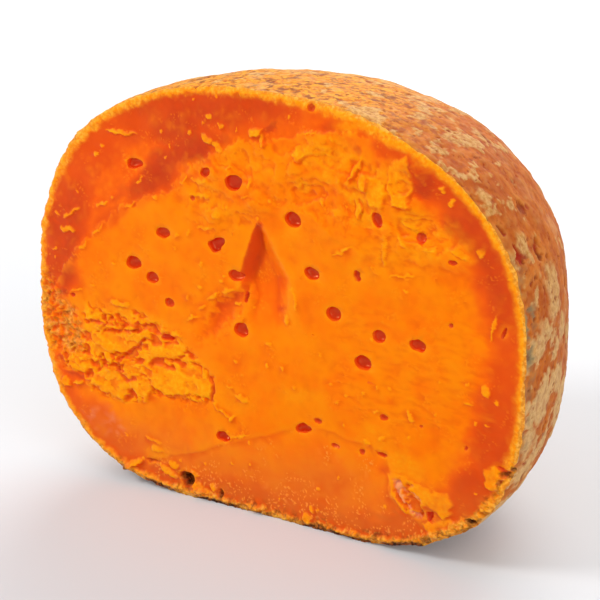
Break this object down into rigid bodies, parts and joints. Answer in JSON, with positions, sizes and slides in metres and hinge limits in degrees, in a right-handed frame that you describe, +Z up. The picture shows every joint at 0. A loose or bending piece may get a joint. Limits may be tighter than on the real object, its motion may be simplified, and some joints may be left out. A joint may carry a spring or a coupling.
{
  "type": "half ball of hard cheese",
  "caption": "Half of a flattened ball of hard orange cheese, cut upright, with small gas holes in its cut face and a pitted rind, standing on a flat spot.",
  "frame": {"origin": "on the surface that the cheese stands on, under the centre of its bounding box", "axes": "+Z up; -Y the way the cut face looks; +X across the cut face, to the right for someone who looks at it"},
  "size_m": [0.2008, 0.111, 0.1581],
  "materials": {
    "cheese": "waxy, slightly translucent orange paste with a yellow-orange rim; dry tan rind, pitted and brown-speckled"
  },
  "bodies": {
    "root": {"cheese_half": "cheese"}
  },
  "joints": []
}
